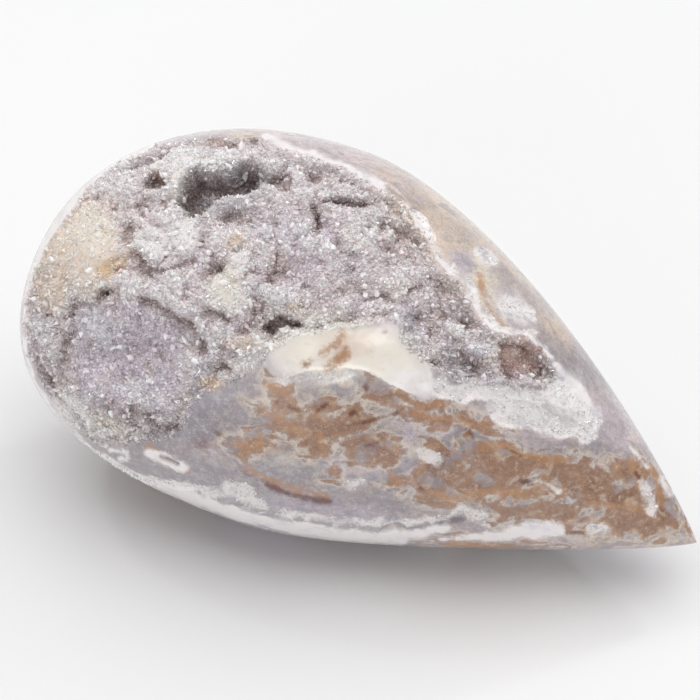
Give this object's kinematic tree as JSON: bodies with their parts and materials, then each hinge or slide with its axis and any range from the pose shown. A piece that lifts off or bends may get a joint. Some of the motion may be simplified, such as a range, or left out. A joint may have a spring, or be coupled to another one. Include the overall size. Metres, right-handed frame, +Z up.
{
  "type": "shell agate",
  "caption": "Fossil snail shell turned to agate, polished to a teardrop, with open hollows lined with quartz on its worn side; rests on a small ground flat.",
  "frame": {"origin": "on the floor, under the middle of the stone's bounding box", "axes": "+X from the blunt end to the spire tip, +Z up, the worn face looks towards -Y and up"},
  "size_m": [0.0766, 0.0408, 0.0411],
  "materials": {
    "agate": "polished, with sparkling crystal-lined hollows"
  },
  "bodies": {
    "root": {"shell_agate": "agate"}
  },
  "joints": []
}
